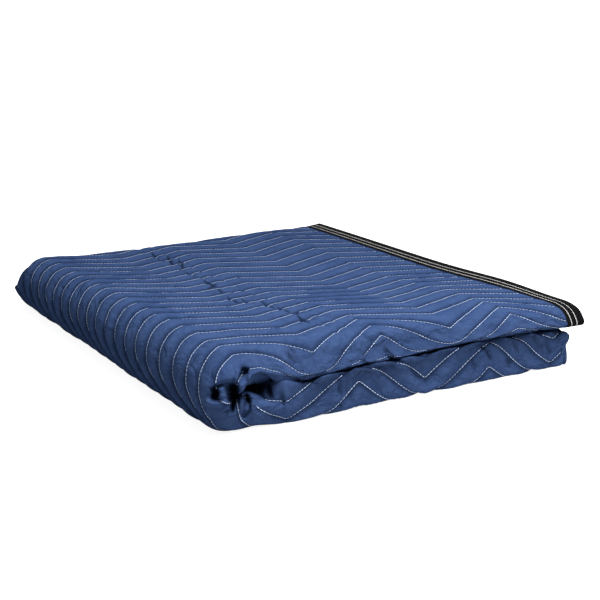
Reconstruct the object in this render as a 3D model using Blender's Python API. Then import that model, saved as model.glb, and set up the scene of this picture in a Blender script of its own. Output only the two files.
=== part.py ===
"""Quilted moving blanket, folded into a flat pad.

The blanket is one sheet. It is folded in half along its length, then in
thirds across its width, and in half along its length once more, so the pad is
twelve plies thick. Four lengths of woven tape bind its edges.

Every point of the cloth has a place on the flat sheet: s along the length,
t across the width and n through the thickness, positive on the outside of
the pad. folded() carries it through the three folds and settled() lets the
stack sag. Metres, +Z up, the pad's underside on Z = 0.
"""
import math

import bmesh
import bpy
import numpy as np

# The sheet
WIDTH = 1.790           # across, t
PLY = 0.0054            # thickness of the quilted cloth
PITCH = 0.0066          # from one ply to the next in the stack
SEAM = 0.0014           # air between the lower and the upper half

# The folds
PLIES = 6               # plies in each half of the pad
HALF_DEPTH = (PLIES - 1) * PITCH + PLY
HEIGHT = 2 * HALF_DEPTH + SEAM
TOP_RUN = 0.457         # bound end to the last fold, along the top
LOW_RUN = 0.428         # last fold to the first fold, along the bottom
LAST_FOLD_X = -0.202    # centre line of the last fold
LAST_RADIUS = HEIGHT / 2
FRONT_Y = -0.277        # centre line of the fold along the front
PANEL = 0.585           # middle third, front fold to back fold
FRONT_AXIS = HALF_DEPTH / 2             # six plies turn at the front
BACK_AXIS = (3 * PITCH + PLY) / 2       # four plies turn at the back
FIRST_AXIS = (PITCH + PLY) / 2          # two plies turn at the first fold
INNER_FLAP = 0.556      # flap that was folded over last
FRONT_T = INNER_FLAP + math.pi * FRONT_AXIS     # the middle third's front edge
BACK_T = FRONT_T + PANEL
FIRST_S = TOP_RUN + math.pi * LAST_RADIUS + LOW_RUN
FIRST_ARC = math.pi * PITCH / 2
LENGTH = 2 * FIRST_S + FIRST_ARC        # along, s

# The quilting: zigzag seams, side by side
ROW_STEP = 0.0298       # one seam to the next
ZIGZAG = 0.1778         # one peak to the next
ZIG_HEIGHT = 0.0188     # half of a seam's rise from valley to peak
FIRST_PEAK = 0.098      # from the bound end
FIRST_SEAM = -0.0032    # from the middle third's front edge
SEAMS = 19              # seams across the middle third
SEAM_DEPTH = 0.0018     # how far a seam draws the cloth in
FRONT_SPREAD = 0.40     # the seams at the front lip swing this much wider

# The tape
TAPE = 0.0205           # width of one leg of the folded tape
TAPE_PLY = 0.0008
CLEAR = 0.0003          # air between tape and cloth
EDGE_PLY = 0.0030       # cloth pressed thin inside the tape
EDGE_RAMP = 0.0040      # where it swells to full thickness again
TAPE_END = TAPE + CLEAR + EDGE_RAMP

# How the pad has settled, in sections across it
#    x, height at the front crest, in the valley and at the back crest,
#    reach of the back edge, draw of the upper front lip, draw of the lower
SECTIONS = (
    (-0.240, 0.0785, 0.0770, 0.0720, -0.004, 0.000, 0.004),
    (-0.130, 0.0780, 0.0720, 0.0680, -0.004, 0.018, 0.006),
    (0.000, 0.0775, 0.0640, 0.0680, -0.002, 0.022, 0.012),
    (0.130, 0.0740, 0.0630, 0.0680, 0.010, 0.014, 0.012),
    (0.260, 0.0695, 0.0645, 0.0650, 0.026, 0.008, 0.010),
)
CREST_Y, VALLEY_Y, BACK_Y = -0.205, 0.010, 0.220
LIP_START = -0.250      # the upper lip droops forward of this
LIP_REACH = FRONT_Y - FRONT_AXIS
LIP_DROOP = 0.25        # share of its height that the lip loses at least
DROOP_PER_DRAW = 27.0   # and more where it is drawn back
LIP_CURVE = 2.2         # how late the droop sets in
MARGIN = 0.027          # back fold to where the inner flap ends
MARGIN_SINK = 0.75 * 4 * PITCH      # the margin holds four plies fewer
MARGIN_GAP = (0.34 * HEIGHT, 0.66 * HEIGHT)     # it sinks into this space

# How closely the mesh follows the cloth
FLAP_ROWS = 7
FRONT_TURN_ROWS = 7
BACK_TURN_ROWS = 5
FIRST_TURN_COLUMNS = 4
LAST_TURN_COLUMNS = (4, 3)      # before and after the zigzag's bend
SAME = 1e-6

PAD = "folded_moving_blanket"


def smooth(start, end, value):
    """Ease from 0 at start to 1 at end."""
    u = np.clip((value - start) / (end - start), 0.0, 1.0)
    return u * u * (3 - 2 * u)


def section(x, column):
    """Read one column of SECTIONS at x, eased between its rows."""
    table = np.array(SECTIONS)
    places = table[:, 0]
    x = np.clip(x, places[0], places[-1])
    row = np.clip(np.searchsorted(places, x) - 1, 0, len(places) - 2)
    ease = smooth(0.0, 1.0, (x - places[row]) / (places[row + 1] - places[row]))
    values = table[:, column]
    return values[row] + (values[row + 1] - values[row]) * ease


def folded(s, t, n):
    """Carry points of the flat sheet through the three folds."""
    # First fold, in half: u runs along the doubled cloth, d is the depth
    turn = np.clip((s - FIRST_S) / FIRST_ARC, 0.0, 1.0) * math.pi
    radius = PITCH / 2 + n
    back = np.maximum(s - FIRST_S - FIRST_ARC, 0.0)
    u = np.where(s < FIRST_S, s, FIRST_S + radius * np.sin(turn) - back)
    d = FIRST_AXIS - radius * np.cos(turn)

    # Second, in thirds: y runs across the pad
    front = np.clip((FRONT_T - t) / FRONT_AXIS, 0.0, math.pi)
    rear = np.clip((t - BACK_T) / BACK_AXIS, 0.0, math.pi)
    y_front = np.maximum(FRONT_T - t - math.pi * FRONT_AXIS, 0.0)
    y_front = FRONT_Y + y_front - (FRONT_AXIS - d) * np.sin(front)
    y_rear = np.maximum(t - BACK_T - math.pi * BACK_AXIS, 0.0)
    y_rear = FRONT_Y + PANEL - y_rear + (BACK_AXIS - d) * np.sin(rear)
    y = FRONT_Y + np.clip(t - FRONT_T, 0.0, PANEL)
    y = np.where(front > 0, y_front, np.where(rear > 0, y_rear, y))
    d_front = FRONT_AXIS - (FRONT_AXIS - d) * np.cos(front)
    d_rear = BACK_AXIS - (BACK_AXIS - d) * np.cos(rear)
    d = np.where(front > 0, d_front, np.where(rear > 0, d_rear, d))

    # Third, in half again, over the top of itself
    turn = np.clip((u - TOP_RUN) / LAST_RADIUS, 0.0, math.pi)
    radius = LAST_RADIUS - d
    x = LAST_FOLD_X - radius * np.sin(turn)
    x = x + np.maximum(TOP_RUN - u, 0.0)
    x = x + np.maximum(u - TOP_RUN - math.pi * LAST_RADIUS, 0.0)
    z = LAST_RADIUS + radius * np.cos(turn)
    return x, y, z, turn


def settled(x, y, z, turn):
    """Let the folded stack sag, droop at the lip and thin at the back."""
    upper = 1 - smooth(0.0, math.pi / 2, turn)
    lower = smooth(math.pi / 2, math.pi, turn)
    lip = np.clip((LIP_START - y) / (LIP_START - LIP_REACH), 0.0, 1.0)
    draw = section(x, 5)
    droop = (LIP_DROOP + DROOP_PER_DRAW * draw) * upper * lip ** LIP_CURVE
    z = LAST_RADIUS + (z - LAST_RADIUS) * (1 - droop)
    new_y = y + (draw * upper + section(x, 6) * lower) * lip ** 2

    margin = smooth(FRONT_Y + PANEL - MARGIN, FRONT_Y + PANEL + BACK_AXIS, y)
    z = z - MARGIN_SINK * margin * np.interp(z, MARGIN_GAP, (0.0, 1.0))

    crest = section(x, 1)
    valley = section(x, 2)
    level = crest + (valley - crest) * smooth(CREST_Y, VALLEY_Y, y)
    level = level + (section(x, 3) - valley) * smooth(VALLEY_Y, BACK_Y, y)
    z = z * level / HEIGHT
    new_y = new_y + section(x, 4) * smooth(-0.05, 0.30, y)
    return x, new_y, z


def zigzag(u):
    """How far a seam has swung to the side, u from the bound end."""
    phase = ((u - FIRST_PEAK) / ZIGZAG) % 1.0
    return ZIG_HEIGHT * (1 - 4 * np.minimum(phase, 1 - phase))


def doubled(s):
    """Distance from the bound end, the same for both plies of the cloth."""
    return np.where(s < LENGTH / 2, s, LENGTH - s)


def seam_swing(s, t):
    """Sideways swing of the seam that passes near a point."""
    lip = 1 - smooth(0.020, 0.060, t - FRONT_T)
    upper = 1 - smooth(0.40, 0.50, doubled(s))
    return zigzag(doubled(s)) * (1 + FRONT_SPREAD * lip * upper)


def sheared(s, t):
    """Swing the rows of the top along the seams, straight again at its edges."""
    row = t - FRONT_T
    fade = smooth(ROW_STEP, 3 * ROW_STEP, row)
    fade = fade * (1 - smooth(PANEL - 0.090, PANEL - MARGIN, row))
    fade = fade * smooth(TAPE_END, 0.060, doubled(s))
    return t + zigzag(doubled(s)) * fade


def cloth_depth(s, t):
    """Half thickness of the cloth on its outer and on its inner side."""
    edge = np.minimum(np.minimum(s, LENGTH - s), np.minimum(t, WIDTH - t))
    swell = np.clip((edge - TAPE - CLEAR) / EDGE_RAMP, 0.0, 1.0)
    inner = (EDGE_PLY + (PLY - EDGE_PLY) * swell) / 2
    row = (t - seam_swing(s, t) - FRONT_T - FIRST_SEAM) / ROW_STEP
    near_seam = 1 - smooth(0.0, 0.4, np.abs(row - np.round(row)))
    quilted = (t > FRONT_T - math.pi * FRONT_AXIS) & (t < BACK_T) & (s < FIRST_S)
    face = quilted & ((s < TOP_RUN + math.pi * LAST_RADIUS) | (t < FRONT_T))
    return inner - SEAM_DEPTH * swell * near_seam * face, inner


def place(bm, s, t, n):
    """Move the flat mesh's vertices to their places on the folded pad."""
    x, y, z = settled(*folded(s, t, n))
    for vert, point in zip(bm.verts, np.stack([x, y, z], axis=1)):
        vert.co = point


def flat_positions(bm):
    """The vertices' s, t and height as arrays."""
    return np.array([vert.co[:] for vert in bm.verts]).T


def flat_grid(s_lines, t_lines):
    """A flat grid with its columns at s_lines and its rows at t_lines."""
    bm = bmesh.new()
    columns = len(s_lines) - 1
    rows = len(t_lines) - 1
    bmesh.ops.create_grid(bm, x_segments=columns, y_segments=rows, size=0.5)
    for vert in bm.verts:
        column = round((vert.co.x + 0.5) * columns)
        row = round((vert.co.y + 0.5) * rows)
        vert.co = (s_lines[column], t_lines[row], 0.0)
    return bm


def thin_rows(bm, t_lines, kept, inside):
    """Dissolve the rows that are not kept, on the edges that inside accepts."""
    dropped = [t for t in t_lines if not any(abs(t - k) < SAME for k in kept)]
    loose = []
    for edge in bm.edges:
        start, end = (vert.co for vert in edge.verts)
        level = abs(start.y - end.y) < SAME and abs(start.x - end.x) > SAME
        middle = (start + end) / 2
        if level and inside(middle) and any(abs(start.y - t) < SAME for t in dropped):
            loose.append(edge)
    bmesh.ops.dissolve_edges(bm, edges=loose, use_verts=True)


def spread(start, end, count):
    """count + 1 even steps from start to end."""
    return [start + (end - start) * step / count for step in range(count + 1)]


def unique(values):
    """The values in order, without those that lie closer than a millimetre."""
    kept = []
    for value in sorted(values):
        if not kept or value - kept[-1] > 0.001:
            kept.append(value)
    return kept


def column_lines(first, last):
    """Places along the doubled cloth, from the bound end to the first fold."""
    bends = [FIRST_PEAK + ZIGZAG * step / 2 for step in range(1, 11)]
    halves = [FIRST_PEAK + ZIGZAG * (step + 0.5) / 2 for step in range(0, 4)]
    turn_end = TOP_RUN + math.pi * LAST_RADIUS
    middle = FIRST_PEAK + 2.5 * ZIGZAG
    before, after = LAST_TURN_COLUMNS
    turn = spread(TOP_RUN, middle, before) + spread(middle, turn_end, after)
    flat_bends = [b for b in bends if b < TOP_RUN - 0.01 or b > turn_end + 0.01]
    lines = [first, TAPE + CLEAR, TAPE_END, 0.060, FIRST_PEAK]
    lines = lines + flat_bends + halves + turn
    return [line for line in unique(lines) if line <= last] + [last]


def row_lines():
    """Rows of the sheet: coarse ones all through it, fine ones on its face."""
    edge = TAPE_PLY + CLEAR
    seam = FRONT_T + FIRST_SEAM
    front_end = FRONT_T - math.pi * FRONT_AXIS
    rear_end = BACK_T + math.pi * BACK_AXIS
    # Every ply has a row at these distances from the fold beside it
    near_front = [FIRST_SEAM + ROW_STEP * step / 2 for step in (2, 1)]
    near_back = [MARGIN * step / 2 for step in (2, 1)]
    coarse = [edge, TAPE + CLEAR]
    coarse += spread(TAPE_END, front_end - near_front[0], FLAP_ROWS)
    coarse += [front_end - near_front[1]] + spread(front_end, FRONT_T, FRONT_TURN_ROWS)
    coarse += [FRONT_T + reach for reach in near_front]
    coarse += [seam + ROW_STEP * step for step in range(2, SEAMS, 2)]
    coarse += [BACK_T - reach for reach in near_back] + spread(BACK_T, rear_end, BACK_TURN_ROWS)
    coarse += [rear_end + near_back[1]]
    coarse += spread(rear_end + near_back[0], WIDTH - TAPE_END, FLAP_ROWS)
    coarse += [WIDTH - TAPE - CLEAR, WIDTH - edge]
    between = [seam + ROW_STEP * step / 2 for step in range(3, 2 * SEAMS - 2)]
    return unique(coarse), unique(coarse + between)


def make_cloth(s_lines, coarse, fine):
    """The quilted sheet, one solid from bound end to bound end."""
    bm = flat_grid(s_lines, fine)
    turn_end = TOP_RUN + math.pi * LAST_RADIUS
    thin_rows(bm, fine, coarse, lambda at: at.x > turn_end or at.x < TAPE_END)
    bmesh.ops.solidify(bm, geom=bm.faces[:], thickness=PLY)
    thin_rows(bm, fine, coarse, lambda at: at.z < -PLY / 2)
    s, t, height = flat_positions(bm)
    t = sheared(s, t)
    outer, inner = cloth_depth(s, t)
    place(bm, s, t, np.where(height > -PLY / 2, outer, -inner))
    return bm


def make_tape(lines, along_s, side):
    """A length of tape folded over one edge of the sheet.

    lines are the places along it. Its section is a channel, closed on the
    edge of the sheet, whose legs reach TAPE in over the cloth.
    """
    leg = EDGE_PLY / 2 + CLEAR
    back = leg + TAPE_PLY
    corners = (
        (TAPE, back), (0.0, back), (0.0, -back), (TAPE, -back),
        (TAPE, -leg), (TAPE_PLY, -leg), (TAPE_PLY, leg), (TAPE, leg),
    )
    bm = bmesh.new()
    bmesh.ops.create_circle(bm, segments=len(corners), radius=TAPE, cap_ends=True)
    for vert, (reach, depth) in zip(list(bm.verts), corners):
        vert.co = (reach, lines[0], depth)
    first = cap = bm.faces[:]
    for start, end in zip(lines, lines[1:]):
        grown = bmesh.ops.extrude_face_region(bm, geom=cap)["geom"]
        if cap is not first:
            bmesh.ops.delete(bm, geom=cap, context="FACES_ONLY")
        cap = [item for item in grown if isinstance(item, bmesh.types.BMFace)]
        for vert in cap[0].verts:
            vert.co.y += end - start
    reach, run, depth = flat_positions(bm)
    if along_s:
        s, t = run, reach if side == "near" else WIDTH - reach
    else:
        s, t = reach if side == "near" else LENGTH - reach, run
    place(bm, s, t, depth)
    return bm


def material(name, colour, roughness, metallic=0.0):
    """A Principled material."""
    made = bpy.data.materials.new(name)
    made.use_nodes = True
    shader = made.node_tree.nodes["Principled BSDF"]
    shader.inputs["Base Color"].default_value = (*colour, 1.0)
    shader.inputs["Roughness"].default_value = roughness
    shader.inputs["Metallic"].default_value = metallic
    return made


def add_object(name, bm, made, collection):
    """Turn a finished bmesh into a named object."""
    bmesh.ops.recalc_face_normals(bm, faces=bm.faces[:])
    if bm.calc_volume(signed=True) < 0:
        bmesh.ops.reverse_faces(bm, faces=bm.faces[:])
    mesh = bpy.data.meshes.new(name)
    bm.to_mesh(mesh)
    bm.free()
    mesh.materials.append(made)
    new = bpy.data.objects.new(name, mesh)
    collection.objects.link(new)
    return new


def centre(objects):
    """Put the origin under the middle of the pad, on the surface it lies on."""
    points = np.array([v.co[:] for obj in objects for v in obj.data.vertices])
    low = points.min(axis=0)
    high = points.max(axis=0)
    shift = ((low[0] + high[0]) / 2, (low[1] + high[1]) / 2, low[2])
    for obj in objects:
        for vert in obj.data.vertices:
            vert.co = [value - move for value, move in zip(vert.co, shift)]


def main():
    """Clear the scene and build the pad."""
    for old in list(bpy.data.objects):
        bpy.data.objects.remove(old, do_unlink=True)
    collection = bpy.data.collections.new(PAD)
    bpy.context.scene.collection.children.link(collection)

    cloth = material("quilted_cloth", (0.030, 0.060, 0.190), 0.75)
    webbing = material("woven_tape", (0.012, 0.012, 0.013), 0.60)

    edge = TAPE_PLY + CLEAR
    half = column_lines(edge, FIRST_S)
    turn = spread(FIRST_S, FIRST_S + FIRST_ARC, FIRST_TURN_COLUMNS)[1:-1]
    s_lines = half + turn + [LENGTH - line for line in reversed(half)]
    coarse, fine = row_lines()
    objects = [add_object("quilted_sheet", make_cloth(s_lines, coarse, fine), cloth, collection)]

    # Along the two ends the tape runs the full width, along the sides between
    across = [0.0] + coarse[1:-1] + [WIDTH]
    start = TAPE + CLEAR
    length = [line for line in s_lines if start - SAME < line < LENGTH - start + SAME]
    for name, lines, along_s, side in (
        ("end_tape_outer", across, False, "near"),
        ("end_tape_inner", across, False, "far"),
        ("side_tape_inner", length, True, "near"),
        ("side_tape_outer", length, True, "far"),
    ):
        tape = make_tape(lines, along_s, side)
        objects.append(add_object(name, tape, webbing, collection))
    centre(objects)


main()
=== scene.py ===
# %% [markdown]
# # Dressing a folded moving blanket
#
# A moving blanket is a quilted sheet with a woven tape bound over its four
# edges. Here it is folded into a flat pad: in half along its length, in
# thirds across its width, and in half along its length once more. The packed
# frame already holds plain solids of the sheet and the four tapes. In this
# lesson each of them gets a finer piece in the same place: cloth with puffed
# channels and a crumpled corner, stitches that lie on it, and ribbed tape.

import math

import bmesh
import bpy
import numpy as np
from mathutils import Matrix, Vector


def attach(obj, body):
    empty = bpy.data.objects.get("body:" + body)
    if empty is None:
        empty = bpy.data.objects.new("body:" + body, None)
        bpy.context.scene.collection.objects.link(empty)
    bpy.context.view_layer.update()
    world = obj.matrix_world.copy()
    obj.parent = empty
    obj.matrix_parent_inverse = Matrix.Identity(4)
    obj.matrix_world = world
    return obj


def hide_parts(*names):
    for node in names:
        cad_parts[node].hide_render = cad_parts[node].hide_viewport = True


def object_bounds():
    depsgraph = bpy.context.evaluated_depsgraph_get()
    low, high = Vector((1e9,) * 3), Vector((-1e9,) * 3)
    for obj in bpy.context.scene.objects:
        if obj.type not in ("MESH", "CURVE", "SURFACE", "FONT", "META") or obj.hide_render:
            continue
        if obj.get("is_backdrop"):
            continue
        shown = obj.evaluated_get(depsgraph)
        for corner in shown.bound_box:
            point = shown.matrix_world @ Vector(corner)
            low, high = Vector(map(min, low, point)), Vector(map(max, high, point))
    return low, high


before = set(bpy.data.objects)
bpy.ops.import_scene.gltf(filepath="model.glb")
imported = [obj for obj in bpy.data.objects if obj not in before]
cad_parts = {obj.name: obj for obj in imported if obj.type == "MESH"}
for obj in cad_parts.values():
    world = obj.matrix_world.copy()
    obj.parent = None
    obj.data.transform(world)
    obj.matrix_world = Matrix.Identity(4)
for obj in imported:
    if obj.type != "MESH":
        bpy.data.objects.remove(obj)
cad_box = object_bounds()
scene = bpy.context.scene
print("nodes in the frame:", sorted(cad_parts))

# %% [markdown]
# ## The sheet and its folds
#
# A real blanket is cut and quilted flat, and only then folded. We work the
# same way: every point of the cloth has a place on the flat sheet, s along
# its length and t across its width, and a height n above the middle of the
# cloth. One function folds such a point into the pad. The other way would be
# to model the pad's outside directly, but then the zigzag seams would have
# to be bent round every fold by hand. Folding a flat pattern keeps each seam
# true, because the thread is part of the cloth.

# %% Sizes of the blanket
WIDTH = 1.790           # across, t
PLY = 0.0054            # thickness of the quilted cloth
PITCH = 0.0066          # from one ply to the next in the stack
SEAM_GAP = 0.0014       # air between the lower and the upper half
PLIES = 6               # plies in each half of the pad
HALF_DEPTH = (PLIES - 1) * PITCH + PLY
HEIGHT = 2 * HALF_DEPTH + SEAM_GAP
TOP_RUN = 0.457         # bound end to the last fold, along the top
LOW_RUN = 0.428         # last fold to the first fold, along the bottom
LAST_FOLD_X = -0.202    # centre line of the last fold
LAST_RADIUS = HEIGHT / 2
TURN_END = TOP_RUN + math.pi * LAST_RADIUS
FRONT_Y = -0.277        # centre line of the fold along the front
PANEL = 0.585           # middle third, front fold to back fold
FRONT_AXIS = HALF_DEPTH / 2             # six plies turn at the front
BACK_AXIS = (3 * PITCH + PLY) / 2       # four plies turn at the back
FIRST_AXIS = (PITCH + PLY) / 2          # two plies turn at the first fold
INNER_FLAP = 0.556      # flap that was folded over last
FRONT_T = INNER_FLAP + math.pi * FRONT_AXIS     # the middle third's front edge
FRONT_END = FRONT_T - math.pi * FRONT_AXIS
BACK_T = FRONT_T + PANEL
BACK_END = BACK_T + math.pi * BACK_AXIS
FIRST_S = TURN_END + LOW_RUN
FIRST_ARC = math.pi * PITCH / 2
FIRST_END = FIRST_S + FIRST_ARC
LENGTH = FIRST_S + FIRST_END            # along, s
MIDDLE = (0.0069968, 0.0250616, 0.0)    # the pad's middle, from the fold lines
print(f"flat sheet {WIDTH:.3f} by {LENGTH:.3f} m")

# %% Easing and noise
LATTICE = 257           # points along a side of the noise's grid


def smooth(start, end, value):
    """Ease from 0 at start to 1 at end."""
    u = np.clip((value - start) / (end - start), 0.0, 1.0)
    return u * u * (3 - 2 * u)


def bell(value, place, run):
    """1 at a place, falling away to 0 on both sides of it."""
    return np.exp(-((value - place) / run) ** 2)


def noise(s, t, step_s, step_t, seed):
    """Value noise from -1 to 1, with lattice steps step_s and step_t."""
    lattice = np.random.default_rng(seed).uniform(-1.0, 1.0, (LATTICE, LATTICE))
    i, j = np.asarray(s) / step_s, np.asarray(t) / step_t
    i0, j0 = np.floor(i).astype(int), np.floor(j).astype(int)
    fi, fj = smooth(0.0, 1.0, i - i0), smooth(0.0, 1.0, j - j0)
    i0, i1 = i0 % LATTICE, (i0 + 1) % LATTICE
    j0, j1 = j0 % LATTICE, (j0 + 1) % LATTICE
    low = lattice[i0, j0] * (1 - fi) + lattice[i1, j0] * fi
    high = lattice[i0, j1] * (1 - fi) + lattice[i1, j1] * fi
    return low * (1 - fj) + high * fj


print("smooth(0, 1, 0.25) is", float(smooth(0, 1, 0.25)))


# %% The folds
def folded(s, t, n):
    """Carry points of the flat sheet through the three folds."""
    # First fold, in half: u runs along the doubled cloth, d is the depth
    turn = np.clip((s - FIRST_S) / FIRST_ARC, 0.0, 1.0) * math.pi
    radius = PITCH / 2 + n
    back = np.maximum(s - FIRST_END, 0.0)
    u = np.where(s < FIRST_S, s, FIRST_S + radius * np.sin(turn) - back)
    d = FIRST_AXIS - radius * np.cos(turn)

    # Second, in thirds: y runs across the pad
    front = np.clip((FRONT_T - t) / FRONT_AXIS, 0.0, math.pi)
    rear = np.clip((t - BACK_T) / BACK_AXIS, 0.0, math.pi)
    y_front = FRONT_Y + np.maximum(FRONT_END - t, 0.0)
    y_front = y_front - (FRONT_AXIS - d) * np.sin(front)
    y_rear = FRONT_Y + PANEL - np.maximum(t - BACK_END, 0.0)
    y_rear = y_rear + (BACK_AXIS - d) * np.sin(rear)
    y = FRONT_Y + np.clip(t - FRONT_T, 0.0, PANEL)
    y = np.where(front > 0, y_front, np.where(rear > 0, y_rear, y))
    d_front = FRONT_AXIS - (FRONT_AXIS - d) * np.cos(front)
    d_rear = BACK_AXIS - (BACK_AXIS - d) * np.cos(rear)
    d = np.where(front > 0, d_front, np.where(rear > 0, d_rear, d))

    # Third, in half again, over the top of itself
    turn = np.clip((u - TOP_RUN) / LAST_RADIUS, 0.0, math.pi)
    radius = LAST_RADIUS - d
    x = LAST_FOLD_X - radius * np.sin(turn)
    x = x + np.maximum(TOP_RUN - u, 0.0)
    x = x + np.maximum(u - TURN_END, 0.0)
    z = LAST_RADIUS + radius * np.cos(turn)
    return x, y, z, turn


bound_corner = [round(float(v), 3) for v in folded(0.0, FRONT_T, 0.0)[:3]]
print("the bound end's front corner folds to", bound_corner)

# %% [markdown]
# ## How the pad has settled
#
# A pile of soft cloth is never a block. Its top dips between two crests, the
# upper lip hangs back and droops over the lower one, and the back edge is
# thin, because four plies end before it. A short table of sections across
# the pad says how much, and the points move with it as a lattice would. The
# values are the same as in the solids, so the fine cloth lands on them.

# %% Sections across the pad
#    x, height at the front crest, in the valley and at the back crest,
#    reach of the back edge, draw of the upper front lip, draw of the lower
SECTIONS = (
    (-0.240, 0.0785, 0.0770, 0.0720, -0.004, 0.000, 0.004),
    (-0.130, 0.0780, 0.0720, 0.0680, -0.004, 0.018, 0.006),
    (0.000, 0.0775, 0.0640, 0.0680, -0.002, 0.022, 0.012),
    (0.130, 0.0740, 0.0630, 0.0680, 0.010, 0.014, 0.012),
    (0.260, 0.0695, 0.0645, 0.0650, 0.026, 0.008, 0.010),
)
CREST, VALLEY, BACK, BACK_REACH, UPPER_DRAW, LOWER_DRAW = range(1, 7)    # the columns after x
CREST_Y, VALLEY_Y, BACK_Y = -0.205, 0.010, 0.220


def section(x, column):
    """Read one column of SECTIONS at x, eased between its rows."""
    table = np.array(SECTIONS)
    places = table[:, 0]
    x = np.clip(x, places[0], places[-1])
    row = np.clip(np.searchsorted(places, x) - 1, 0, len(places) - 2)
    ease = smooth(0.0, 1.0, (x - places[row]) / (places[row + 1] - places[row]))
    values = table[:, column]
    return values[row] + (values[row + 1] - values[row]) * ease


print("front crest:", SECTIONS[0][1], "high at the last fold,", SECTIONS[-1][1], "at the bound end")


# %% Settling the stack
LIP_START = -0.250      # the upper lip droops forward of this
LIP_REACH = FRONT_Y - FRONT_AXIS
LIP_DROOP = 0.25        # share of its height that the lip loses at least
DROOP_PER_DRAW = 27.0   # and more where it is drawn back
LIP_CURVE = 2.2         # how late the droop sets in
MARGIN = 0.027          # back fold to where the inner flap ends
MARGIN_SINK = 0.75 * 4 * PITCH
MARGIN_GAP = (0.34 * HEIGHT, 0.66 * HEIGHT)
BACK_REACH_Y = (-0.05, 0.30)            # the back edge's reach sets in between


def settled(x, y, z, turn):
    """Let the folded stack sag, droop at the lip and thin at the back."""
    upper = 1 - smooth(0.0, math.pi / 2, turn)
    lower = smooth(math.pi / 2, math.pi, turn)
    lip = np.clip((LIP_START - y) / (LIP_START - LIP_REACH), 0.0, 1.0)
    draw = section(x, UPPER_DRAW)
    droop = (LIP_DROOP + DROOP_PER_DRAW * draw) * upper * lip ** LIP_CURVE
    z = LAST_RADIUS + (z - LAST_RADIUS) * (1 - droop)
    new_y = y + (draw * upper + section(x, LOWER_DRAW) * lower) * lip ** 2

    margin = smooth(FRONT_Y + PANEL - MARGIN, FRONT_Y + PANEL + BACK_AXIS, y)
    z = z - MARGIN_SINK * margin * np.interp(z, MARGIN_GAP, (0.0, 1.0))

    crest = section(x, CREST)
    valley = section(x, VALLEY)
    level = crest + (valley - crest) * smooth(CREST_Y, VALLEY_Y, y)
    level = level + (section(x, BACK) - valley) * smooth(VALLEY_Y, BACK_Y, y)
    z = z * level / HEIGHT
    new_y = new_y + section(x, BACK_REACH) * smooth(*BACK_REACH_Y, y)
    return x, new_y, z


bound_corner = [round(float(v), 3) for v in settled(*folded(0.0, FRONT_T, 0.0))]
print("and settles at", bound_corner)

# %% [markdown]
# ## The crumpled corner
#
# Where the last fold turns at the front there is more cloth than room. The
# lips part in a dark slit there, and the cloth bunches into a small roll,
# some pleats and two deep holes. Toward the bound end the lower lip is the
# fuller one, so the slit rises along it. A cloth simulation could bunch the
# cloth, but its folds would land anywhere, and the seams with them. So we
# draw the folds in a plane that faces the corner. Each is a short line with
# a width and a depth, and the cloth near the line is pushed in by that
# depth, or out where it is negative. Layers farther inside move less, so the
# plies stay in order.

# %% Opening the slit
LIFT_X = (-0.128, -0.104, -0.050, 0.000, 0.030, 0.075, 0.120, 0.170, 0.220)
LIFT = (0.0, 0.0030, 0.0055, 0.0050, 0.0070, 0.0105, 0.0120, 0.0125, 0.0090)
LIFT_Y = (-0.240, -0.140)               # in full in front, none behind
SLIT_Z = 0.0390         # level of the slit between the two lips at the corner
SLIT_HALF = 0.0022      # half of its height before it opens
SLIT_REACH = 0.020      # how far above and below the cloth gives way
SLIT_X = (-0.235, -0.200, -0.191, -0.180, -0.167, -0.156, -0.144, -0.130, -0.110)
SLIT_UP = (-0.0008, -0.0016, 0.0140, 0.0165, 0.0120, 0.0100, 0.0070, 0.0025, 0.0)
SLIT_DOWN = (-0.0008, -0.0016, -0.0010, 0.0060, 0.0110, 0.0085, 0.0060, 0.0035, 0.0)
SLIT_Y = (-0.255, -0.195)               # open here, closed there


def lifted(x, y, z):
    """Make the lower lip fuller to the right; returns z and the slit's level."""
    crest = section(x, CREST)
    slit = crest / 2
    rise = np.interp(x, LIFT_X, LIFT) * (1 - smooth(*LIFT_Y, y))
    share = np.where(z < slit, z / slit, (crest - z) / (crest - slit))
    return z + rise * np.clip(share, 0.0, 1.0), slit + rise


def opened(x, y, z, level):
    """Part the two lips at the crumpled corner."""
    off = z - level
    give = np.minimum(np.abs(off) / SLIT_HALF, 1.0) * np.exp(-((off / SLIT_REACH) ** 2))
    give = give * (1 - smooth(*SLIT_Y, y))
    rise = np.where(off > 0, np.interp(x, SLIT_X, SLIT_UP), -np.interp(x, SLIT_X, SLIT_DOWN))
    return z + rise * give


print(f"the slit opens by {1000 * max(map(sum, zip(SLIT_UP, SLIT_DOWN))):.0f} mm")


# %% Squaring the lips and the foot of the round side
LIP_SQUARE = 0.0080     # the lips are this much squarer than a half circle
LIP_SHARE = 0.46        # share of a lip's height from its middle to full squaring
LIP_X = (-0.185, -0.140)                # round at the corner, square along the front
LIP_Y = (-0.264, -0.225)                # in full in front, none behind
ROUNDER = 0.7           # the upper lip loses this share of it
ROUNDER_X = (0.150, 0.240)              # toward the bound end
SIDE_SQUARE = 0.0100    # the foot of the round side stands out by this much
SIDE_CURVE = 1.5        # how low that sets in
SIDE_X = (-0.222, -0.196)               # in full outside, none inside


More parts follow.
